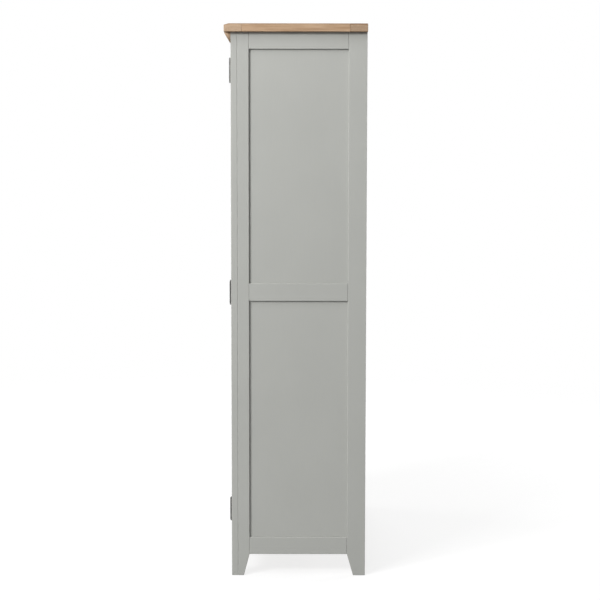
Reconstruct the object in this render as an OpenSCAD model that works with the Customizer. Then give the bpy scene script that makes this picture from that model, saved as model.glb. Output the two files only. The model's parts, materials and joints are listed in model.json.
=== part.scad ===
// Free-standing pantry cabinet: a painted frame-and-panel carcass under a framed oak top,
// two inset doors on butt hinges, shelves on pegs and a set of racks inside each door.
// +Z is up and the front faces -Y. The origin is on the floor, under the middle of the top.

/* [Overall size] */
// Height from the floor to the upper face of the top
total_height = 1900; // [1700:10:2100]
// Width of the painted body
body_width = 1060; // [900:10:1200]
// Depth of the painted body, from the face frame to the back rails
body_depth = 463; // [420:1:560]
// Clear height under the bottom rails
foot_height = 75; // [50:1:120]

/* [Oak top] */
// Thickness of the top boards
top_thickness = 28; // [20:1:40]
// Reach of the top past the body at each side
side_overhang = 20; // [5:1:40]
// Reach of the top past the face frame
front_overhang = 22; // [22:1:40]
// Reach of the top past the back rails
rear_overhang = 1; // [1:1:10]
// Width of the boards that frame the centre of the top
top_board_width = 60; // [40:1:90]
// Width of the bevel along the front and the two ends
bevel_width = 15; // [3:1:25]
// Drop of the bevel at the edge
bevel_drop = 6; // [2:1:12]
// Height of the cornice moulding under the front edge
cornice_height = 36; // [20:1:50]
// Depth of the cornice moulding where it meets the top
cornice_depth = 21; // [10:1:21]

/* [Carcass frames] */
// Thickness of every stile and rail
board_thickness = 22; // [18:1:28]
// Width of the face-frame stiles, seen from the front
face_stile_width = 52; // [45:1:80]
// Width of the side stile that stands behind the face frame
front_leg_width = 39.5; // [30:0.5:60]
// Width of the rear stile of each side
rear_leg_width = 63; // [50:0.5:80]
// Width of a foot at the floor, across the side
foot_width = 41.5; // [30:0.5:50]
// Height of the bottom and middle rails
rail_height = 60; // [40:1:80]
// Height of the top rail of each side
side_top_rail_height = 57; // [40:1:80]
// Height of the middle of the middle rail above the floor
middle_height = 990; // [900:1:1100]

/* [Panels] */
// Thickness of the flat panels
panel_thickness = 8; // [6:1:9]
// Depth of a panel's face below the frame around it
panel_recess = 8; // [5:1:8]
// Depth of the grooves that hold panels and tenons
groove_depth = 9; // [6:0.5:12]
// Thickness of the grooved back panel
back_thickness = 9; // [6:1:12]

/* [Doors] */
// Gap around each door
door_gap = 3; // [3:0.5:4]
// Width of the door stiles and height of the door rails
door_frame_width = 65; // [60:1:90]
// Diameter of the door knobs
knob_diameter = 30; // [20:1:40]
// Height of the knobs above the floor
knob_height = 990; // [900:1:1100]

/* [Hinges] */
// Height of each hinge leaf
leaf_height = 76; // [60:1:90]
// Distance from the end of a door to the middle of its outer hinge
hinge_inset = 87; // [70:1:140]
// Thickness of a hinge leaf
leaf_thickness = 1.3; // [1:0.1:1.3]
// Outer radius of the knuckles
knuckle_radius = 3.8; // [3.2:0.1:3.8]
// Radius of the hinge pin
pin_radius = 1.5; // [1.2:0.1:1.8]

/* [Interior] */
// Thickness of the shelves
shelf_thickness = 18; // [15:1:25]
// Depth of the shelves, measured from the back panel
shelf_depth = 298; // [250:1:300]
// Spacing of the peg holes
peg_pitch = 64; // [32:32:96]
// Depth of the racks inside the doors
rack_depth = 90; // [60:1:90]
// Height of the rack ends
rack_height = 100; // [80:1:140]
// Vertical spacing of the racks
rack_pitch = 400; // [300:10:400]

/* [Hidden] */

$fn = 48;
// Overrun of every cut past the face that it opens
cut = 1;
// Gap that lets a panel or a tenon end short of the bottom of its groove
groove_slack = 1;

paint = [0.70, 0.70, 0.68];
oak = [0.78, 0.65, 0.51];
pale_oak = [0.83, 0.72, 0.58];
metal = [0.50, 0.50, 0.50];
dark_metal = [0.25, 0.25, 0.26];

// Where the body and the top stand
top_width = body_width + 2 * side_overhang;
top_depth = front_overhang + body_depth + rear_overhang;
top_z = total_height - top_thickness;
face_y = front_overhang - top_depth / 2;
rear_y = face_y + body_depth;
inside_x = body_width / 2 - board_thickness;

// Side frames
leg_front_y = face_y + board_thickness;
side_rail_y = leg_front_y + front_leg_width;
side_rail_length = rear_y - rear_leg_width - side_rail_y;
middle_rail_z = middle_height - rail_height / 2;
tongue = groove_depth - groove_slack;

// Cornice moulding
cornice_foot = 2;
cornice_lip = 4;

// Back: thin rails behind a grooved panel
back_rail_thickness = 18;
back_rail_y = rear_y - back_rail_thickness;
back_y = back_rail_y - back_thickness;
back_grooves = 11;
back_groove_width = 2.1;
anchor_radius = 2.5;
anchor_x = 300;
anchor_z = top_z - rail_height / 2;

// Doors
opening_half = body_width / 2 - face_stile_width;
door_width = opening_half - 1.5 * door_gap;
door_bottom = foot_height + rail_height + door_gap;
door_height = top_z - cornice_height - door_gap - door_bottom;
door_rail_length = door_width - 2 * door_frame_width;
door_middle_z = (door_height - door_frame_width) / 2;
door_panel_height = door_middle_z - door_frame_width;

// Hinges: the pin stands in front of the gap between door and stile
knuckle_clearance = 0.2;
pin_x = opening_half - door_gap / 2;
pin_y = face_y - knuckle_radius - knuckle_clearance;
hinge_heights = [
  door_bottom + hinge_inset,
  door_bottom + door_height / 2,
  door_bottom + door_height - hinge_inset
];
knuckle_count = 5;
knuckle_pitch = leaf_height / knuckle_count;
knuckle_play = 0.3;
leaf_face = door_gap / 2 - leaf_thickness;
leaf_start = knuckle_radius + knuckle_play;
leaf_reach = 22;
bore_play = 0.05;

// Outline of a pin's turned cap, as radius and height above the knuckles
pin_collar = [3.5, 1.1];
pin_neck = [2.45, 1.9];
pin_bead = [3, 3.3];
pin_crown = [2.1, 5];
pin_tip = 5.5;

// Countersunk hinge screws
screw_radius = 1.5;
screw_length = 18;
screw_head_radius = 2.8;
// Cross slot of a screw: its length, width and depth
screw_cross = [4, 0.8, 0.7];
screw_reach = 15;
screw_heights = [-26, 0, 26];

// Knobs
knob_projection = 21;
knob_edge = 4;
knob_rose_radius = 9;
knob_rose_height = 3;
knob_neck_radius = 5.5;
knob_dome = 3;
stud_radius = 2;
stud_length = 16;

// Magnetic catches behind the top rail of the face frame
catch_width = 36;
catch_start_x = 8;
catch_height = 52;
catch_depth = 20;
catch_drop = 26;
// Steel plate on the door: its width, thickness and height
catch_plate = [30, 1, 16];
catch_gap = 0.3;

// Floor and shelves
floor_z = foot_height + rail_height;
cleat = 20;
shelf_y = back_y - shelf_depth;
fixed_shelf_z = middle_height - shelf_thickness / 2;
strip_thickness = 12;
strip_width = 25;
strip_inset = 12;
strip_x = inside_x - strip_thickness;
strip_ys = [shelf_y + strip_inset, back_y - strip_inset - strip_width];
strip_zs = [floor_z, fixed_shelf_z + shelf_thickness];
strip_heights = [fixed_shelf_z - floor_z, top_z - fixed_shelf_z - shelf_thickness];
first_hole = 231;
hole_count = 7;
peg_radius = 2.5;
peg_hole_depth = 8;
peg_reach = 10;
// Holes that carry the two shelves of the lower and of the upper half
shelf_holes = [[0, 5], [1, 5]];
shelf_play = 1;

// Door racks
rack_board = 8;
rack_end = 12;
rack_inset = 30;
rack_front_height = 50;
rack_count = 4;
first_rack = 100;
rack_width = door_width - 2 * rack_inset;

// A box from its lowest to its highest corner
module block(low, high) {
  translate(low)
    cube(high - low);
}

// Both halves of a pair that mirrors about the middle of the cabinet
module both_sides() {
  children();
  mirror([1, 0, 0])
    children();
}

// Places a frame drawn in X and Z, with its face at Y = 0, on the right side of the body
module on_right_side() {
  translate([body_width / 2, 0, 0])
    rotate([0, 0, 90])
      children();
}

// Places a door drawn in X and Z, with its face at Y = 0, in the right half of the opening
module on_right_door() {
  translate([door_gap / 2, face_y, door_bottom])
    children();
}

module on_left_door() {
  mirror([1, 0, 0])
    on_right_door()
      children();
}

// Top

// The whole top as one slab with its bevels, which each board takes its part of
module bevelled_slab() {
  half_width = top_width / 2;
  half_depth = top_depth / 2;
  shoulder = top_thickness - bevel_drop;
  translate([0, 0, top_z])
    intersection() {
      rotate([90, 0, 0])
        linear_extrude(top_depth, center = true)
          polygon([
            [-half_width, 0], [half_width, 0], [half_width, shoulder],
            [half_width - bevel_width, top_thickness], [bevel_width - half_width, top_thickness],
            [-half_width, shoulder]
          ]);
      rotate([90, 0, 90])
        linear_extrude(top_width, center = true)
          polygon([
            [-half_depth, 0], [half_depth, 0], [half_depth, top_thickness],
            [bevel_width - half_depth, top_thickness], [-half_depth, shoulder]
          ]);
    }
}

module top_part(low, high) {
  color(oak)
    intersection() {
      bevelled_slab();
      block([low[0], low[1], top_z - cut], [high[0], high[1], total_height + cut]);
    }
}

module top_front_board() {
  top_part([-top_width / 2, -top_depth / 2], [top_width / 2, top_board_width - top_depth / 2]);
}

module top_rear_board() {
  top_part([-top_width / 2, top_depth / 2 - top_board_width], [top_width / 2, top_depth / 2]);
}

module top_side_boards() {
  both_sides()
    top_part(
      [top_width / 2 - top_board_width, top_board_width - top_depth / 2],
      [top_width / 2, top_depth / 2 - top_board_width]
    );
}

module top_centre_panel() {
  half_width = top_width / 2 - top_board_width;
  half_depth = top_depth / 2 - top_board_width;
  top_part([-half_width, -half_depth], [half_width, half_depth]);
}

module cornice_moulding() {
  bottom = top_z - cornice_height;
  color(oak)
    rotate([90, 0, 90])
      linear_extrude(body_width, center = true)
        polygon([
          [face_y, bottom], [face_y - cornice_foot, bottom],
          [face_y - cornice_depth, top_z - cornice_lip], [face_y - cornice_depth, top_z],
          [face_y, top_z]
        ]);
}

// Frame-and-panel parts, each drawn with its outer edge at X = 0 and its face at Y = 0

// A groove for panels and tenons, cut from one point along X or Z
module groove(low, high) {
  block([low[0], panel_recess, low[1]], [high[0], panel_recess + panel_thickness, high[1]]);
}

// A leg: a full-height stile that narrows to a foot below the bottom rail
module leg_blank(width, foot) {
  translate([0, board_thickness, 0])
    rotate([90, 0, 0])
      linear_extrude(board_thickness)
        polygon([[0, 0], [foot, 0], [width, foot_height], [width, top_z], [0, top_z]]);
}

module side_leg(width, foot) {
  color(paint)
    difference() {
      leg_blank(width, foot);
      groove([width - groove_depth, foot_height], [width + cut, top_z + cut]);
    }
}

module door_stile() {
  difference() {
    cube([door_frame_width, board_thickness, door_height]);
    groove([door_frame_width - groove_depth, -cut], [door_frame_width + cut, door_height + cut]);
  }
}

// A rail with a stub tenon at each end, and a groove along each edge that meets a panel
module rail(length, height, groove_below, groove_above) {
  color(paint)
    difference() {
      union() {
        cube([length, board_thickness, height]);
        groove([-tongue, 0], [length + tongue, height]);
      }
      if (groove_below)
        groove([-groove_depth, -cut], [length + groove_depth, groove_depth]);
      if (groove_above)
        groove([-groove_depth, height - groove_depth], [length + groove_depth, height + cut]);
    }
}

// A flat panel for a clear opening, with its four edges reaching into the grooves
module panel(length, height) {
  color(paint)
    groove([-tongue, -tongue], [length + tongue, height + tongue]);
}

// Sides

module right_front_leg() {
  on_right_side()
    translate([leg_front_y, 0, 0])
      side_leg(front_leg_width, foot_width - board_thickness);
}

module right_rear_leg() {
  on_right_side()
    translate([rear_y, 0, 0])
      mirror([1, 0, 0])
        side_leg(rear_leg_width, foot_width);
}

module side_rail(z, height, groove_below, groove_above) {
  on_right_side()
    translate([side_rail_y, 0, z])
      rail(side_rail_length, height, groove_below, groove_above);
}

module side_panel(low, high) {
  on_right_side()
    translate([side_rail_y, 0, low])
      panel(side_rail_length, high - low);
}

module right_top_rail() {
  side_rail(top_z - side_top_rail_height, side_top_rail_height, true, false);
}

module right_middle_rail() {
  side_rail(middle_rail_z, rail_height, true, true);
}

module right_bottom_rail() {
  side_rail(foot_height, rail_height, false, true);
}

module right_upper_panel() {
  side_panel(middle_rail_z + rail_height, top_z - side_top_rail_height);
}

module right_lower_panel() {
  side_panel(floor_z, middle_rail_z);
}

module left_front_leg() {
  mirror([1, 0, 0])
    right_front_leg();
}

module left_rear_leg() {
  mirror([1, 0, 0])
    right_rear_leg();
}

module left_top_rail() {
  mirror([1, 0, 0])
    right_top_rail();
}

module left_middle_rail() {
  mirror([1, 0, 0])
    right_middle_rail();
}

module left_bottom_rail() {
  mirror([1, 0, 0])
    right_bottom_rail();
}

module left_upper_panel() {
  mirror([1, 0, 0])
    right_upper_panel();
}

module left_lower_panel() {
  mirror([1, 0, 0])
    right_lower_panel();
}

// Face frame

module face_stiles() {
  color(paint)
    both_sides()
      difference() {
        translate([body_width / 2, face_y, 0])
          mirror([1, 0, 0])
            leg_blank(face_stile_width, face_stile_width - rear_leg_width + foot_width);
        frame_screw_holes();
      }
}

module face_rail(low, high) {
  color(paint)
    block([-opening_half, face_y, low], [opening_half, leg_front_y, high]);
}

module face_top_rail() {
  face_rail(top_z - cornice_height, top_z);
}

module face_bottom_rail() {
  face_rail(foot_height, floor_z);
}

// Back

// Holes for the screws that hold the cabinet to a wall
module anchor_holes() {
  both_sides()
    translate([anchor_x, rear_y + cut, anchor_z])
      rotate([90, 0, 0])
        cylinder(r = anchor_radius, h = rear_y - back_y + 2 * cut);
}

module back_rails() {
  color(paint)
    difference() {
      for (z = [foot_height, top_z - rail_height])
        block([-inside_x, back_rail_y, z], [inside_x, rear_y, z + rail_height]);
      anchor_holes();
    }
}

module back_panel() {
  pitch = 2 * inside_x / (back_grooves + 1);
  color(paint)
    difference() {
      block([-inside_x, back_y, floor_z], [inside_x, back_rail_y, top_z]);
      for (i = [1 : back_grooves])
        translate([i * pitch - inside_x, back_y, floor_z - cut])
          rotate([0, 0, 45])
            translate([-back_groove_width / 2, -back_groove_width / 2, 0])
              cube([back_groove_width, back_groove_width, top_z - floor_z + 2 * cut]);
      anchor_holes();
    }
}

// Floor and shelves

module floor_board() {
  color(pale_oak)
    block([-inside_x, leg_front_y, floor_z - shelf_thickness], [inside_x, back_rail_y, floor_z]);
}

module floor_cleats() {
  top = floor_z - shelf_thickness;
  color(pale_oak)
    both_sides()
      block([inside_x - cleat, side_rail_y, top - cleat], [inside_x, back_y, top]);
}

module fixed_shelf() {
  color(pale_oak)
    block(
      [-inside_x, shelf_y, fixed_shelf_z],
      [inside_x, back_y, fixed_shelf_z + shelf_thickness]
    );
}

// Puts its children at every peg hole of the right side that the given list of holes names
module at_holes(half, holes) {
  for (y = strip_ys, hole = holes)
    translate([strip_x, y + strip_width / 2, strip_zs[half] + first_hole + hole * peg_pitch])
      rotate([0, 90, 0])
        children();
}

module shelf_strips() {
  color(pale_oak)
    both_sides()
      for (half = [0, 1])
        difference() {
          for (y = strip_ys)
            translate([strip_x, y, strip_zs[half]])
              cube([strip_thickness, strip_width, strip_heights[half]]);
          at_holes(half, [0 : hole_count - 1])
            translate([0, 0, -cut])
              cylinder(r = peg_radius + bore_play, h = peg_hole_depth + cut);
        }
}

module shelf_pegs() {
  color(metal)
    both_sides()
      for (half = [0, 1])
        at_holes(half, shelf_holes[half])
          translate([0, 0, -peg_reach])
            cylinder(r = peg_radius, h = peg_reach + peg_hole_depth - bore_play);
}

// One loose shelf, with a notch round each strip
module loose_shelf() {
  difference() {
    block(
      [shelf_play - inside_x, shelf_y, 0],
      [inside_x - shelf_play, back_y - shelf_play, shelf_thickness]
    );
    both_sides()
      for (y = strip_ys)
        block(
          [strip_x - shelf_play, y - shelf_play, -cut],
          [inside_x, y + strip_width + shelf_play, shelf_thickness + cut]
        );
  }
}

module adjustable_shelves() {
  color(pale_oak)
    for (half = [0, 1], hole = shelf_holes[half])
      translate([0, 0, strip_zs[half] + first_hole + hole * peg_pitch + peg_radius])
        loose_shelf();
}

// Doors

module hinge_stile() {
  color(paint)
    difference() {
      on_right_door()
        translate([door_width, 0, 0])
          mirror([1, 0, 0])
            door_stile();
      door_screw_holes();
    }
}

module meeting_stile() {
  color(paint)
    on_right_door()
      difference() {
        door_stile();
        at_knob()
          translate([0, 0, -board_thickness - cut])
            cylinder(r = stud_radius + bore_play, h = board_thickness + 2 * cut);
      }
}

module door_rail(z, groove_below, groove_above) {
  translate([door_frame_width, 0, z])
    rail(door_rail_length, door_frame_width, groove_below, groove_above);
}

module door_panels() {
  for (z = [door_frame_width, door_middle_z + door_frame_width])
    translate([door_frame_width, 0, z])
      panel(door_rail_length, door_panel_height);
}

module right_door_hinge_stile() {
  hinge_stile();
}

module right_door_meeting_stile() {
  meeting_stile();
}

module right_door_top_rail() {
  on_right_door()
    door_rail(door_height - door_frame_width, true, false);
}

module right_door_middle_rail() {
  on_right_door()
    door_rail(door_middle_z, true, true);
}

module right_door_bottom_rail() {
  on_right_door()
    door_rail(0, false, true);
}

module right_door_panels() {
  on_right_door()
    door_panels();
}

module left_door_hinge_stile() {
  mirror([1, 0, 0])
    hinge_stile();
}

module left_door_meeting_stile() {
  mirror([1, 0, 0])
    meeting_stile();
}

module left_door_top_rail() {
  on_left_door()
    door_rail(door_height - door_frame_width, true, false);
}

module left_door_middle_rail() {
  on_left_door()
    door_rail(door_middle_z, true, true);
}

module left_door_bottom_rail() {
  on_left_door()
    door_rail(0, false, true);
}

module left_door_panels() {
  on_left_door()
    door_panels();
}

// Knobs

// Puts its children on the face of a door, with their Z axis pointing out to the front
module at_knob() {
  translate([door_frame_width / 2, 0, knob_height - door_bottom])
    rotate([90, 0, 0])
      children();
}

// Half of the knob's section, turned about its axis
module knob_outline() {
  rim_centre = knob_diameter / 2 - knob_edge;
  rim_top = knob_projection - knob_dome;
  dome_radius = (rim_centre * rim_centre + knob_dome * knob_dome) / (2 * knob_dome);
  square([knob_rose_radius, knob_rose_height]);
  square([knob_neck_radius, rim_top]);
  translate([0, rim_top - 2 * knob_edge])
    square([rim_centre, 2 * knob_edge]);
  translate([rim_centre, rim_top - knob_edge])
    circle(r = knob_edge);
  intersection() {
    translate([0, knob_projection - dome_radius])
      circle(r = dome_radius);
    translate([0, rim_top - cut])
      square([rim_centre, knob_dome + cut]);
  }
}

module knob() {
  color(metal)
    at_knob() {
      rotate_extrude()
        knob_outline();
      translate([0, 0, -stud_length])
        cylinder(r = stud_radius, h = stud_length + cut);
    }
}

module right_door_knob() {
  on_right_door()
    knob();
}

module left_door_knob() {
  on_left_door()
    knob();
}

// Racks inside the doors, drawn from the door's back face

module at_racks() {
  for (i = [0 : rack_count - 1])
    translate([rack_inset, board_thickness, first_rack + i * rack_pitch])
      children();
}

module rack_bases() {
  color(pale_oak)
    at_racks()
      translate([rack_end, 0, 0])
        cube([rack_width - 2 * rack_end, rack_depth - rack_board, rack_board]);
}

module rack_fronts() {
  color(pale_oak)
    at_racks()
      translate([rack_end, rack_depth - rack_board, 0])
        cube([rack_width - 2 * rack_end, rack_board, rack_front_height]);
}

// An end board with a quarter-round top front corner
module rack_end_board() {
  corner = rack_height - rack_front_height;
  rotate([90, 0, 90])
    linear_extrude(rack_end)
      intersection() {
        square([rack_depth, rack_height]);
        union() {
          square([rack_depth, rack_height - corner]);
          square([rack_depth - corner, rack_height]);
          translate([rack_depth - corner, rack_height - corner])
            circle(r = corner);
        }
      }
}

module rack_ends() {
  color(pale_oak)
    at_racks()
      for (x = [0, rack_width - rack_end])
        translate([x, 0, 0])
          rack_end_board();
}

module right_rack_bases() {
  on_right_door()
    rack_bases();
}

module right_rack_fronts() {
  on_right_door()
    rack_fronts();
}

module right_rack_ends() {
  on_right_door()
    rack_ends();
}

module left_rack_bases() {
  on_left_door()
    rack_bases();
}

module left_rack_fronts() {
  on_left_door()
    rack_fronts();
}

module left_rack_ends() {
  on_left_door()
    rack_ends();
}

// Hinges, drawn about the pin with the frame's leaf at +X

module at_hinges() {
  for (z = hinge_heights)
    translate([pin_x, pin_y, z])
      children();
}

// Puts its children at the screws of a leaf, with their Z axis pointing into the wood
module at_screws() {
  for (z = screw_heights)
    translate([leaf_face, screw_reach, z])
      rotate([0, 90, 0])
        children();
}

module screw_blank(play) {
  head_height = screw_head_radius - screw_radius;
  cylinder(r1 = screw_head_radius + play, r2 = screw_radius + play, h = head_height);
  cylinder(r = screw_radius + play, h = screw_length);
}

// A leaf that owns every second knuckle from the given one up
module leaf(first) {
  color(metal)
    difference() {
      union() {
        translate([leaf_face, leaf_start, -leaf_height / 2])
          cube([leaf_thickness, leaf_reach - leaf_start, leaf_height]);
        for (i = [first : 2 : knuckle_count - 1])
          translate([0, 0, i * knuckle_pitch - leaf_height / 2 + knuckle_play / 2]) {
            cylinder(r = knuckle_radius, h = knuckle_pitch - knuckle_play);
            translate([leaf_face, 0, 0])
              cube([leaf_thickness, leaf_start + cut, knuckle_pitch - knuckle_play]);
          }
      }
      translate([0, 0, -leaf_height])
        cylinder(r = pin_radius + bore_play, h = 2 * leaf_height);
      at_screws()
        screw_blank(bore_play);
    }
}

module pin() {
  shaft = leaf_height - knuckle_play;
  color(metal) {
    cylinder(r = pin_radius, h = shaft, center = true);
    for (up = [0, 1])
      mirror([0, 0, up])
        translate([0, 0, shaft / 2])
          rotate_extrude()
            polygon([
              [0, 0], [pin_collar[0], 0], pin_collar, pin_neck, pin_bead, pin_crown, [0, pin_tip]
            ]);
  }
}

module screw() {
  color(dark_metal)
    difference() {
      screw_blank(0);
      for (turn = [0, 90])
        rotate([0, 0, turn])
          cube([screw_cross[0], screw_cross[1], 2 * screw_cross[2]], center = true);
    }
}

module frame_screw_holes() {
  at_hinges()
    at_screws()
      cylinder(r = screw_radius + bore_play, h = screw_length + cut);
}

module door_screw_holes() {
  at_hinges()
    mirror([1, 0, 0])
      at_screws()
        cylinder(r = screw_radius + bore_play, h = screw_length + cut);
}

module door_leaves() {
  at_hinges()
    mirror([1, 0, 0])
      leaf(1);
}

module door_screws() {
  at_hinges()
    mirror([1, 0, 0])
      at_screws()
        screw();
}

module hinge_frame_leaves() {
  both_sides()
    at_hinges()
      leaf(0);
}

module right_hinge_leaves() {
  door_leaves();
}

module left_hinge_leaves() {
  mirror([1, 0, 0])
    door_leaves();
}

module hinge_pins() {
  both_sides()
    at_hinges()
      pin();
}

module hinge_frame_screws() {
  both_sides()
    at_hinges()
      at_screws()
        screw();
}

module right_hinge_screws() {
  door_screws();
}

module left_hinge_screws() {
  mirror([1, 0, 0])
    door_screws();
}

// Catches

module catch_magnets() {
  low = top_z - cornice_height - catch_drop;
  front = leg_front_y + catch_plate[1] + catch_gap;
  color(dark_metal)
    both_sides()
      translate([catch_start_x, 0, 0]) {
        block([0, front, low], [catch_width, leg_front_y + catch_depth, low + catch_height]);
        block(
          [0, leg_front_y, top_z - cornice_height],
          [catch_width, front + cut, low + catch_height]
        );
      }
}

module strike() {
  color(metal)
    translate([
      catch_start_x + (catch_width - catch_plate[0]) / 2 - door_gap / 2,
      board_thickness,
      door_height - catch_plate[2] - door_gap
    ])
      cube(catch_plate);
}

module right_catch_plate() {
  on_right_door()
    strike();
}

module left_catch_plate() {
  on_left_door()
    strike();
}

top_front_board();
top_rear_board();
top_side_boards();
top_centre_panel();
cornice_moulding();
right_front_leg();
right_rear_leg();
right_top_rail();
right_middle_rail();
right_bottom_rail();
right_upper_panel();
right_lower_panel();
left_front_leg();
left_rear_leg();
left_top_rail();
left_middle_rail();
left_bottom_rail();
left_upper_panel();
left_lower_panel();
face_stiles();
face_top_rail();
face_bottom_rail();
back_rails();
back_panel();
floor_board();
floor_cleats();
fixed_shelf();
adjustable_shelves();
shelf_strips();
shelf_pegs();
right_door_hinge_stile();
right_door_meeting_stile();
right_door_top_rail();
right_door_middle_rail();
right_door_bottom_rail();
right_door_panels();
left_door_hinge_stile();
left_door_meeting_stile();
left_door_top_rail();
left_door_middle_rail();
left_door_bottom_rail();
left_door_panels();
right_door_knob();
left_door_knob();
right_rack_bases();
right_rack_fronts();
right_rack_ends();
left_rack_bases();
left_rack_fronts();
left_rack_ends();
hinge_frame_leaves();
right_hinge_leaves();
left_hinge_leaves();
hinge_pins();
hinge_frame_screws();
right_hinge_screws();
left_hinge_screws();
catch_magnets();
right_catch_plate();
left_catch_plate();
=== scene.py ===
"""Looks of the pantry cabinet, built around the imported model.

Every timber part is remade from its CAD solid with rounded arrises, so that joints and edges
catch the light, and gets a grain field of its own. The metal parts keep their CAD shapes.
Lengths are in metres.
"""

import json
import math
import random

import bmesh
import bpy
from mathutils import Matrix, Vector


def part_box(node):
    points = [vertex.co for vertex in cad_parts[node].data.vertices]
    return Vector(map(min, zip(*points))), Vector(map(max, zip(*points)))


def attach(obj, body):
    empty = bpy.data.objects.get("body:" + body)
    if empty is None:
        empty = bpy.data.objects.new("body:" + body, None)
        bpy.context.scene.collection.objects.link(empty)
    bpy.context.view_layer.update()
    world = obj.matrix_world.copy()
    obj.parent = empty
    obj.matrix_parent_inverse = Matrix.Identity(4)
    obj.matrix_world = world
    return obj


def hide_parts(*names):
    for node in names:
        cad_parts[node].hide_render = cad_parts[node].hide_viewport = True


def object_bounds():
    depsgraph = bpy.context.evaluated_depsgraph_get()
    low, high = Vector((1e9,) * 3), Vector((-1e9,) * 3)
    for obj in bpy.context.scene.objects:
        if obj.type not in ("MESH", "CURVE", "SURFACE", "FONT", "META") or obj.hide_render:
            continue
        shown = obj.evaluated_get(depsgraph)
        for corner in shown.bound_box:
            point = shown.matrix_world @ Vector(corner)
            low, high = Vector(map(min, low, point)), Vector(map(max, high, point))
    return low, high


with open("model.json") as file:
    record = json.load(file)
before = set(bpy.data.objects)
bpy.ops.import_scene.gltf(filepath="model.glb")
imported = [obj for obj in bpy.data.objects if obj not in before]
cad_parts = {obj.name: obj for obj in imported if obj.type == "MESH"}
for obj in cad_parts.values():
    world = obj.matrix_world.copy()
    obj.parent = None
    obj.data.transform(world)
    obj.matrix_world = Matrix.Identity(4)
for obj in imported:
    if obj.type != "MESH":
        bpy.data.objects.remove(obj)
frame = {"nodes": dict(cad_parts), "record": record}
cad_low, cad_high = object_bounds()
record = frame["record"]
body_of = {node: body for body, nodes in record["behaviour"]["bodies"].items() for node in nodes}
dice = random.Random(7)

MM = 0.001


# --- Shader helpers ---------------------------------------------------------------------------


class Shader:
    """One material with a Principled shader, and short calls for the nodes that feed it."""

    def __init__(self, name, **inputs):
        self.material = bpy.data.materials.new(name)
        self.material.use_nodes = True
        self.tree = self.material.node_tree
        self.tree.nodes.clear()
        self.surface = self.add("ShaderNodeBsdfPrincipled")
        self.output = self.add("ShaderNodeOutputMaterial")
        self.show(self.surface.outputs[0])
        for socket, value in inputs.items():
            self.surface.inputs[socket.replace("_", " ")].default_value = value

    def add(self, kind, **settings):
        node = self.tree.nodes.new(kind)
        for key, value in settings.items():
            setattr(node, key, value)
        return node

    def feed(self, socket, value):
        """Links an output to a socket, or sets a plain value on it."""
        if isinstance(value, bpy.types.NodeSocket):
            self.tree.links.new(value, socket)
        else:
            socket.default_value = value

    def into(self, name, value):
        self.feed(self.surface.inputs[name], value)

    def show(self, shader):
        self.feed(self.output.inputs["Surface"], shader)

    def blend(self, factor, first, second):
        """Mixes two shaders."""
        node = self.add("ShaderNodeMixShader")
        for socket, value in zip(node.inputs, (factor, first, second)):
            self.feed(socket, value)
        return node.outputs[0]

    def attribute(self, name, output):
        node = self.add("ShaderNodeAttribute", attribute_type="GEOMETRY", attribute_name=name)
        return node.outputs[output]

    def math(self, operation, a, b=0.0, clamp=False):
        node = self.add("ShaderNodeMath", operation=operation, use_clamp=clamp)
        self.feed(node.inputs[0], a)
        self.feed(node.inputs[1], b)
        return node.outputs[0]

    def vector(self, operation, a, b=(0, 0, 0), output=0):
        node = self.add("ShaderNodeVectorMath", operation=operation)
        self.feed(node.inputs[0], a)
        self.feed(node.inputs[1], b)
        return node.outputs[output]

    def split(self, vector):
        node = self.add("ShaderNodeSeparateXYZ")
        self.feed(node.inputs[0], vector)
        return node.outputs

    def join(self, x, y, z):
        node = self.add("ShaderNodeCombineXYZ")
        for socket, value in zip(node.inputs, (x, y, z)):
            self.feed(socket, value)
        return node.outputs[0]

    def noise(self, vector, scale, detail=2.0, roughness=0.5):
        node = self.add("ShaderNodeTexNoise", noise_dimensions="3D")
        self.feed(node.inputs["Vector"], vector)
        node.inputs["Scale"].default_value = scale
        node.inputs["Detail"].default_value = detail
        node.inputs["Roughness"].default_value = roughness
        return node.outputs["Fac"]

    def ramp(self, value, low, high):
        """0 below low, 1 above high, and smooth between them."""
        node = self.add("ShaderNodeMapRange", interpolation_type="SMOOTHSTEP")
        self.feed(node.inputs["Value"], value)
        node.inputs["From Min"].default_value = low
        node.inputs["From Max"].default_value = high
        return node.outputs["Result"]

    def spread(self, value, low, high):
        """Maps 0..1 to low..high."""
        node = self.add("ShaderNodeMapRange")
        self.feed(node.inputs["Value"], value)
        node.inputs["To Min"].default_value = low
        node.inputs["To Max"].default_value = high
        return node.outputs["Result"]

    def mix(self, factor, a, b, blend="MIX"):
        node = self.add("ShaderNodeMix", data_type="RGBA", blend_type=blend)
        self.feed(node.inputs["Factor"], factor)
        self.feed(node.inputs[6], a)
        self.feed(node.inputs[7], b)
        return node.outputs[2]

    def bump(self, height, distance, strength=1.0, under=None):
        node = self.add("ShaderNodeBump")
        node.inputs["Strength"].default_value = strength
        node.inputs["Distance"].default_value = distance
        self.feed(node.inputs["Height"], height)
        if under is not None:
            self.feed(node.inputs["Normal"], under)
        return node.outputs[0]


def rgb(red, green, blue):
    return (red, green, blue, 1.0)


# --- Materials --------------------------------------------------------------------------------

# Satin paint over timber, in linear light
PAINT = rgb(0.452, 0.458, 0.432)
PAINT_WORN = rgb(0.520, 0.524, 0.498)
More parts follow.
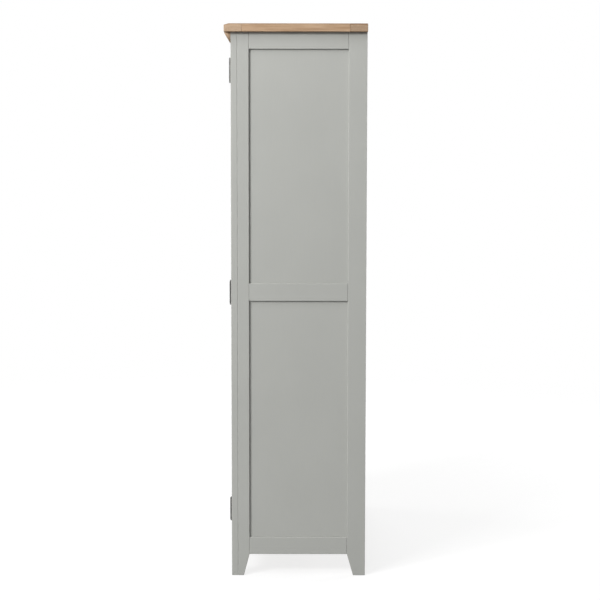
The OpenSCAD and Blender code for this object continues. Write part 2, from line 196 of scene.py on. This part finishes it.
# Oak, from the pale late wood to the dark early wood, and its end grain
OAK_PALE = rgb(0.548, 0.381, 0.250)
OAK_DARK = rgb(0.335, 0.200, 0.112)
OAK_PORE = rgb(0.190, 0.110, 0.062)
OAK_END = rgb(0.510, 0.392, 0.286)
SHELF_PALE = rgb(0.640, 0.480, 0.330)
SHELF_DARK = rgb(0.500, 0.345, 0.215)
SHELF_END = rgb(0.540, 0.400, 0.270)
PEWTER = rgb(0.312, 0.308, 0.300)
PEWTER_DARK = rgb(0.150, 0.147, 0.142)
STEEL = rgb(0.560, 0.555, 0.545)
PLASTIC = rgb(0.030, 0.030, 0.032)
PLASTIC_WORN = rgb(0.060, 0.060, 0.060)

RING_SPACING = 3.2 * MM
RING_SWAY = 9 * MM
STAVE_WIDTH = 78 * MM
# How far the grain field of one stave lies from its neighbour's: across, through and along
STAVE_SHIFT = (50 * MM, 90 * MM, 5.0)
# The grain is this much longer than it is wide: growth rings, and single fibres
RING_STRETCH = (1.0, 1.0, 0.055)
FIBRE_STRETCH = (1.0, 1.0, 0.016)
BRUSH_STRETCH = (1.0, 1.0, 0.03)
OAK_SPECULAR = 0.18
OAK_ROUGHNESS = 0.70
SHELF_ROUGHNESS = 0.50
PEWTER_ROUGHNESS = 0.30
STEEL_ROUGHNESS = 0.24


def painted(name, on_timber):
    """Satin paint. Over timber the open grain and the brush show through along the board."""
    s = Shader(name)
    grain = s.attribute("grain", "Vector")
    along = s.vector("MULTIPLY", grain, BRUSH_STRETCH)
    cloud = s.noise(grain, 5.0, 3.0)
    strokes = s.noise(along, 900.0 if on_timber else 420.0, 3.0, 0.6)
    stroke_depth = (0.24 if on_timber else 0.12) * MM
    stipple = s.noise(grain, 1500.0, 2.0, 0.55)
    tone = s.math("ADD", s.spread(cloud, 0.962, 1.034), s.spread(strokes, -0.022, 0.022))
    colour = s.mix(1.0, PAINT, s.join(tone, tone, tone), "MULTIPLY")
    patches = s.ramp(s.noise(grain, 38.0, 4.0), 0.42, 0.62)
    rubbed = s.math("MULTIPLY", s.attribute("arris", "Fac"), patches)
    s.into("Base Color", s.mix(s.math("MULTIPLY", rubbed, 0.75), colour, PAINT_WORN))
    s.into("Roughness", s.spread(s.noise(along, 120.0, 3.0), 0.40, 0.52))
    brushed = s.bump(strokes, stroke_depth, 0.7)
    s.into("Normal", s.bump(stipple, 0.07 * MM, 0.6, brushed))
    return s.material


def glue_up(s, grain):
    """Cuts a panel into staves: gives a grain field and a shade to each, and their glue lines."""
    across, thick, length = s.split(grain)
    step = s.math("DIVIDE", across, STAVE_WIDTH)
    pick = s.add("ShaderNodeTexWhiteNoise", noise_dimensions="1D")
    s.feed(pick.inputs["W"], s.math("FLOOR", step))
    shift = s.split(pick.outputs["Color"])
    from_seam = s.math("ABSOLUTE", s.math("SUBTRACT", s.math("FRACT", step), 0.5))
    seam = s.ramp(from_seam, 0.4935, 0.499)
    shade = s.spread(pick.outputs["Value"], -0.30, 0.30)
    shifted = s.join(
        s.math("ADD", across, s.spread(shift[0], -STAVE_SHIFT[0], STAVE_SHIFT[0])),
        s.math("ADD", thick, s.spread(shift[1], -STAVE_SHIFT[1], STAVE_SHIFT[1])),
        s.math("ADD", length, s.spread(shift[2], 0.0, STAVE_SHIFT[2])),
    )
    return shifted, shade, seam


def oak(name, pale, dark, end, staves, roughness):
    """Solid oak: growth rings about a pith line beside each board, pores, rays and end grain."""
    s = Shader(name, Specular_IOR_Level=OAK_SPECULAR)
    grain = s.attribute("grain", "Vector")
    tone = s.attribute("tone", "Fac")
    on_end = s.attribute("end", "Fac")
    shade = 0.0
    if staves:
        grain, shade, seam = glue_up(s, grain)
    long = s.vector("MULTIPLY", grain, RING_STRETCH)
    fibre = s.vector("MULTIPLY", grain, FIBRE_STRETCH)
    sway = s.noise(long, 13.0, 3.0, 0.55)
    from_pith = s.vector("LENGTH", s.vector("MULTIPLY", grain, (1.0, 1.0, 0.0)), output=1)
    reach = s.math("ADD", from_pith, s.spread(sway, -RING_SWAY, RING_SWAY))
    rings = s.math("FRACT", s.math("DIVIDE", reach, RING_SPACING))
    early = s.math("SUBTRACT", 1.0, s.ramp(rings, 0.06, 0.42))
    late = s.ramp(rings, 0.80, 0.99)
    bands = s.noise(s.join(reach, 0.0, s.split(long)[2]), 95.0, 2.0, 0.6)
    streak = s.noise(fibre, 260.0, 3.0, 0.6)
    open_pore = s.ramp(s.noise(fibre, 1500.0, 1.0), 0.56, 0.66)
    pore = s.math("MULTIPLY", open_pore, s.spread(early, 0.25, 1.0))
    rays = s.ramp(s.noise(s.vector("MULTIPLY", grain, (1.0, 0.08, 0.14)), 700.0, 1.0), 0.62, 0.74)
    flecks = s.spread(s.noise(s.vector("MULTIPLY", grain, (1.0, 0.45, 0.2)), 340.0, 2.0), -0.7, 0.7)

    darkening = s.math("MULTIPLY", early, 0.34)
    for part in (
        s.math("MULTIPLY", late, 0.12),
        s.spread(s.ramp(bands, 0.28, 0.72), -0.12, 0.60),
        s.spread(streak, -0.16, 0.20),
        s.math("MULTIPLY", on_end, flecks),
        tone,
    ):
        darkening = s.math("ADD", darkening, part)
    darkening = s.math("ADD", darkening, shade, clamp=True)

    colour = s.mix(darkening, pale, dark)
    colour = s.mix(s.math("MULTIPLY", rays, 0.16), colour, pale)
    colour = s.mix(s.math("MULTIPLY", on_end, 0.45), colour, end)
    colour = s.mix(s.math("MULTIPLY", pore, 0.42), colour, OAK_PORE)
    if staves:
        colour = s.mix(s.math("MULTIPLY", seam, 0.55), colour, OAK_PORE)
    patches = s.ramp(s.noise(grain, 60.0, 4.0), 0.4, 0.65)
    worn = s.math("MULTIPLY", s.attribute("arris", "Fac"), patches)
    colour = s.mix(s.math("MULTIPLY", worn, 0.30), colour, pale)
    light = s.math("SUBTRACT", 1.0, s.math("MULTIPLY", tone, 0.45))
    s.into("Base Color", s.mix(1.0, colour, s.join(light, light, light), "MULTIPLY"))
    s.into("Roughness", s.spread(streak, roughness - 0.07, roughness + 0.09))
    height = s.math("SUBTRACT", s.math("MULTIPLY", streak, 0.5), pore)
    s.into("Normal", s.bump(height, 0.16 * MM, 0.7))
    return s.material


def metal(name, face, tarnish, roughness):
    """Plated metal: fine brushing, and a darker tone where polish doesn't reach."""
    s = Shader(name, Metallic=1.0)
    place = s.add("ShaderNodeTexCoord").outputs["Object"]
    cloud = s.noise(place, 160.0, 4.0, 0.6)
    brush = s.noise(s.vector("MULTIPLY", place, (1.0, 1.0, 0.07)), 5200.0, 2.0)
    s.into("Base Color", s.mix(s.ramp(cloud, 0.42, 0.74), face, tarnish))
    s.into("Roughness", s.spread(s.math("MULTIPLY", cloud, brush), roughness, roughness + 0.4))
    s.into("Normal", s.bump(brush, 0.03 * MM, 0.5))
    return s.material


def moulded(name, colour):
    """Matt moulded plastic with a fine spark-eroded texture."""
    s = Shader(name)
    place = s.add("ShaderNodeTexCoord").outputs["Object"]
    fine = s.noise(place, 2600.0, 2.0)
    scuffs = s.spread(s.noise(place, 60.0), 0.0, 0.25)
    s.into("Base Color", s.mix(scuffs, colour, PLASTIC_WORN))
    s.into("Roughness", s.spread(fine, 0.48, 0.66))
    s.into("Normal", s.bump(fine, 0.05 * MM, 0.5))
    return s.material


paint_timber = painted("paint_on_timber", on_timber=True)
paint_board = painted("paint_on_board", on_timber=False)
oak_board = oak("oak_board", OAK_PALE, OAK_DARK, OAK_END, False, OAK_ROUGHNESS)
oak_staves = oak("oak_staves", OAK_PALE, OAK_DARK, OAK_END, True, OAK_ROUGHNESS)
shelf_board = oak("shelf_board", SHELF_PALE, SHELF_DARK, SHELF_END, False, SHELF_ROUGHNESS)
shelf_staves = oak("shelf_staves", SHELF_PALE, SHELF_DARK, SHELF_END, True, SHELF_ROUGHNESS)
pewter = metal("pewter", PEWTER, PEWTER_DARK, PEWTER_ROUGHNESS)
bright_steel = metal("bright_steel", STEEL, PEWTER, STEEL_ROUGHNESS)
black_plastic = moulded("catch_plastic", PLASTIC)


# --- Timber parts -----------------------------------------------------------------------------

WELD = 0.002 * MM
# Faces this close to one plane are one face, and an edge sharper than this is an arris
FLAT = math.radians(0.5)
SHARP = math.radians(30)
SHORTEST_ARRIS = 6 * MM
ARRIS_SEGMENTS = 3
# Gap at the shoulders and ends of rails, and how far boards of one kind differ in tone
JOINT_GAP = 0.25 * MM
TONE_SPREAD = 0.10
# How much darker than the middle of the top its outer boards are
EDGE_TONE = 0.12
REAR_TONE = 0.26
# Radius of the arrises
OAK_ARRIS = 0.9 * MM
STAVE_ARRIS = 0.5 * MM
FACE_STILE_ARRIS = 1.8 * MM
FRAME_ARRIS = 1.6 * MM
DOOR_ARRIS = 1.3 * MM
PANEL_ARRIS = 0.3 * MM
BACK_ARRIS = 0.4 * MM
RACK_ARRIS = 0.8 * MM
SHELF_ARRIS = 0.9 * MM
STRIP_ARRIS = 0.6 * MM


def whole_faces(node):
    """A bmesh of a CAD node in which each flat face is one face again."""
    bm = bmesh.new()
    bm.from_mesh(frame["nodes"][node].data)
    for layer in list(bm.loops.layers.uv):
        bm.loops.layers.uv.remove(layer)
    bmesh.ops.remove_doubles(bm, verts=bm.verts, dist=WELD)
    bmesh.ops.dissolve_limit(bm, angle_limit=FLAT, verts=bm.verts, edges=bm.edges)
    return bm


def round_arrises(bm, radius, mask):
    """Rounds the long convex edges and marks the new faces."""
    edges = [
        edge for edge in bm.edges
        if edge.is_manifold and edge.is_convex
        and edge.calc_face_angle() > SHARP and edge.calc_length() > SHORTEST_ARRIS
    ]
    made = bmesh.ops.bevel(
        bm, geom=edges, offset=radius, offset_type="OFFSET", segments=ARRIS_SEGMENTS,
        profile=0.5, affect="EDGES", clamp_overlap=False,
    )
    for face in made["faces"]:
        face[mask] = 1.0


def islands(bm):
    """The separate solids of a bmesh, as lists of vertices."""
    seen = set()
    for start in bm.verts:
        if start in seen:
            continue
        seen.add(start)
        found = [start]
        for vert in found:
            for edge in vert.link_edges:
                other = edge.other_vert(vert)
                if other not in seen:
                    seen.add(other)
                    found.append(other)
        yield found


def ordered_axes(verts):
    """The middle of a solid, and its axes from the shortest side to the longest."""
    low = Vector([min(v.co[i] for v in verts) for i in range(3)])
    high = Vector([max(v.co[i] for v in verts) for i in range(3)])
    size = high - low
    return (low + high) / 2, sorted(range(3), key=lambda i: size[i])


def open_joints(bm, gap):
    """Sets the end faces and shoulders of each solid back by a gap, so that its joints show."""
    for verts in islands(bm):
        along = ordered_axes(verts)[1][2]
        for vert in verts:
            ends = [f.normal[along] for f in vert.link_faces if abs(f.normal[along]) > 0.99]
            if ends:
                vert.co[along] -= math.copysign(gap, ends[0])


def lay_grain(bm, tone):
    """Gives each solid a tone, and a grain field along its longest side beside its own pith line."""
    grain = bm.verts.layers.float_vector.new("grain")
    shade = bm.verts.layers.float.new("tone")
    end = bm.faces.layers.float.new("end")
    for verts in islands(bm):
        middle, (thin, wide, along) = ordered_axes(verts)
        pith = Vector((dice.uniform(-0.03, 0.03), dice.uniform(0.05, 0.14), dice.uniform(0.0, 9.0)))
        board_tone = tone + dice.uniform(-TONE_SPREAD, TONE_SPREAD)
        for vert in verts:
            place = vert.co - middle
            vert[grain] = Vector((place[wide], place[thin], place[along])) + pith
            vert[shade] = board_tone
            for face in vert.link_faces:
                face[end] = float(abs(face.normal[along]) > 0.9)


def timber(node, material, radius, gap=0.0, tone=0.0):
    """A board, or a set of like boards, that replaces its CAD node."""
    bm = whole_faces(node)
    mask = bm.faces.layers.float.new("arris")
    open_joints(bm, gap)
    round_arrises(bm, radius, mask)
    bm.normal_update()
    lay_grain(bm, tone)
    for face in bm.faces:
        face.smooth = True
        face.material_index = 0
    mesh = bpy.data.meshes.new(node + "_timber")
    bm.to_mesh(mesh)
    bm.free()
    piece = bpy.data.objects.new(node + "_timber", mesh)
    bpy.context.scene.collection.objects.link(piece)
    mesh.materials.append(material)
    flats = piece.modifiers.new("flat_faces", "WEIGHTED_NORMAL")
    flats.mode = "FACE_AREA"
    flats.weight = 100
    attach(piece, body_of[node])
    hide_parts(node)
    return piece


SIDES = ("right", "left")

timber("top_front_board", oak_board, OAK_ARRIS, tone=EDGE_TONE)
timber("top_rear_board", oak_board, OAK_ARRIS, tone=REAR_TONE)
timber("top_side_boards", oak_board, OAK_ARRIS, JOINT_GAP, EDGE_TONE)
timber("top_centre_panel", oak_staves, STAVE_ARRIS, JOINT_GAP)
timber("cornice_moulding", oak_board, OAK_ARRIS, tone=EDGE_TONE)

timber("face_stiles", paint_timber, FACE_STILE_ARRIS)
for node in ("face_top_rail", "face_bottom_rail", "back_rails"):
    timber(node, paint_timber, FRAME_ARRIS, JOINT_GAP)
timber("back_panel", paint_board, BACK_ARRIS)
for side in SIDES:
    for leg in ("front_leg", "rear_leg"):
        timber(f"{side}_{leg}", paint_timber, FRAME_ARRIS)
    for rail in ("top_rail", "middle_rail", "bottom_rail"):
        timber(f"{side}_{rail}", paint_timber, FRAME_ARRIS, JOINT_GAP)
    for panel in ("upper_panel", "lower_panel"):
        timber(f"{side}_{panel}", paint_board, PANEL_ARRIS)

for side in SIDES:
    for stile in ("hinge_stile", "meeting_stile"):
        timber(f"{side}_door_{stile}", paint_timber, DOOR_ARRIS)
    for rail in ("top_rail", "middle_rail", "bottom_rail"):
        timber(f"{side}_door_{rail}", paint_timber, DOOR_ARRIS, JOINT_GAP)
    timber(f"{side}_door_panels", paint_board, PANEL_ARRIS)
    for part in ("bases", "fronts", "ends"):
        timber(f"{side}_rack_{part}", shelf_board, RACK_ARRIS)

for node in ("floor_board", "fixed_shelf", "adjustable_shelves"):
    timber(node, shelf_staves, SHELF_ARRIS)
for node in ("floor_cleats", "shelf_strips"):
    timber(node, shelf_board, STRIP_ARRIS)


# --- Metal and plastic parts keep their CAD shapes -----------------------------------------------

CAD_SHAPED = {
    "hinge_frame_leaves": pewter,
    "right_hinge_leaves": pewter,
    "left_hinge_leaves": pewter,
    "hinge_pins": pewter,
    "hinge_frame_screws": pewter,
    "right_hinge_screws": pewter,
    "left_hinge_screws": pewter,
    "right_door_knob": pewter,
    "left_door_knob": pewter,
    "shelf_pegs": bright_steel,
    "right_catch_plate": bright_steel,
    "left_catch_plate": bright_steel,
    "catch_magnets": black_plastic,
}

for node, material in CAD_SHAPED.items():
    for place in frame["nodes"][node].material_slots:
        place.material = material


# --- Stage ------------------------------------------------------------------------------------

FLOOR_RADIUS = 6.0
# What the floor gives back as a light, and what it shows: its own glow under its shadows
FLOOR_BOUNCE = rgb(0.40, 0.40, 0.40)
FLOOR_SHOWN = rgb(0.24, 0.24, 0.24)
FLOOR_GLOW = 0.80
FADE_START = 1.3
FADE_END = 4.6
# The floor lies this far below the feet
FLOOR_DROP = 0.3 * MM


def add_floor():
    """A round white light table, on which shadows stay pale, and which fades into the surroundings."""
    bm = bmesh.new()
    bmesh.ops.create_circle(bm, cap_ends=True, segments=96, radius=FLOOR_RADIUS)
    mesh = bpy.data.meshes.new("floor")
    bm.to_mesh(mesh)
    bm.free()
    floor = bpy.data.objects.new("floor", mesh)
    floor.location = (0, 0, cad_low.z - FLOOR_DROP)
    bpy.context.scene.collection.objects.link(floor)
    s = Shader("floor_paper", Roughness=0.9)
    s.into("Base Color", FLOOR_BOUNCE)
    shown = s.add("ShaderNodeBsdfDiffuse")
    s.feed(shown.inputs["Color"], FLOOR_SHOWN)
    glow = s.add("ShaderNodeEmission")
    s.feed(glow.inputs["Strength"], FLOOR_GLOW)
    lit = s.add("ShaderNodeAddShader")
    s.feed(lit.inputs[0], shown.outputs[0])
    s.feed(lit.inputs[1], glow.outputs[0])
    clear = s.add("ShaderNodeBsdfTransparent")
    place = s.add("ShaderNodeTexCoord").outputs["Object"]
    fade = s.ramp(s.vector("LENGTH", place, output=1), FADE_START, FADE_END)
    is_seen = s.add("ShaderNodeLightPath").outputs["Is Camera Ray"]
    paper = s.blend(is_seen, s.surface.outputs[0], lit.outputs[0])
    s.show(s.blend(fade, paper, clear.outputs[0]))
    mesh.materials.append(s.material)


def add_world(seen, light):
    """White surroundings, dimmer as a light than they look."""
    world = bpy.data.worlds.new("studio")
    bpy.context.scene.world = world
    world.use_nodes = True
    tree = world.node_tree
    tree.nodes.clear()
    backdrop = tree.nodes.new("ShaderNodeBackground")
    backdrop.inputs["Strength"].default_value = seen
    glow = tree.nodes.new("ShaderNodeBackground")
    glow.inputs["Strength"].default_value = light
    for node in (backdrop, glow):
        node.inputs["Color"].default_value = rgb(1, 1, 1)
    path = tree.nodes.new("ShaderNodeLightPath")
    choose = tree.nodes.new("ShaderNodeMixShader")
    output = tree.nodes.new("ShaderNodeOutputWorld")
    tree.links.new(path.outputs["Is Camera Ray"], choose.inputs[0])
    tree.links.new(glow.outputs[0], choose.inputs[1])
    tree.links.new(backdrop.outputs[0], choose.inputs[2])
    tree.links.new(choose.outputs[0], output.inputs["Surface"])


def add_softbox(name, place, target, size, power, glare=True):
    """A soft rectangular light. Without glare it isn't mirrored in satin surfaces."""
    data = bpy.data.lights.new(name, "AREA")
    data.shape = "RECTANGLE"
    data.size, data.size_y = size
    data.energy = power
    box = bpy.data.objects.new(name, data)
    box.location = place
    aim = Vector(target) - Vector(place)
    box.rotation_mode = "QUATERNION"
    box.rotation_quaternion = aim.to_track_quat("-Z", "Y")
    bpy.context.scene.collection.objects.link(box)
    box.visible_camera = False
    box.visible_glossy = glare


# The camera looks at the right-hand side from a little above, and turns by a hair
CAMERA_DISTANCE = 5.2
CAMERA_HEIGHT = 1.4439
CAMERA_Y = 0.0149
CAMERA_PITCH = math.radians(5.276)
CAMERA_ROLL = math.radians(0.071)
CAMERA_LENS = 91.41


def add_camera():
    data = bpy.data.cameras.new("camera")
    data.lens = CAMERA_LENS
    data.sensor_width = 36
    camera = bpy.data.objects.new("camera", data)
    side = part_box("right_front_leg")[1].x
    turn = (
        Matrix.Rotation(math.radians(90), 4, "Z")
        @ Matrix.Rotation(math.radians(90) - CAMERA_PITCH, 4, "X")
        @ Matrix.Rotation(CAMERA_ROLL, 4, "Z")
    )
    place = (side + CAMERA_DISTANCE, CAMERA_Y, CAMERA_HEIGHT)
    camera.matrix_world = Matrix.Translation(place) @ turn
    bpy.context.scene.collection.objects.link(camera)
    bpy.context.scene.camera = camera


# Where the lights that model the right-hand side point
SIDE_AIM = (0.5, 0.0, 1.4)

bpy.context.scene.view_settings.view_transform = "Standard"
bpy.context.scene.view_settings.look = "None"
add_floor()
add_world(seen=1.0, light=0.2)
add_softbox("key", (4.6, -4.6, 3.6), SIDE_AIM, (1.2, 1.2), 216, glare=False)
add_softbox("key_side", (5.2, -3.2, 3.7), SIDE_AIM, (1.2, 1.2), 112)
add_softbox("high", (4.2, -3.0, 5.0), SIDE_AIM, (2.0, 2.0), 64)
add_softbox("steep", (2.0, -0.6, 4.6), (0.5, 0.0, 1.2), (1.4, 1.4), 31)
add_softbox("front", (-1.5, -4.0, 2.6), (0.0, -0.2, 1.1), (2.2, 2.2), 70)
add_softbox("left", (-4.4, -0.8, 1.1), (-0.5, 0.0, 1.1), (1.8, 1.6), 72)
add_softbox("rear", (-2.0, 4.0, 1.1), (0.0, 0.2, 1.1), (1.8, 1.6), 130)
add_camera()
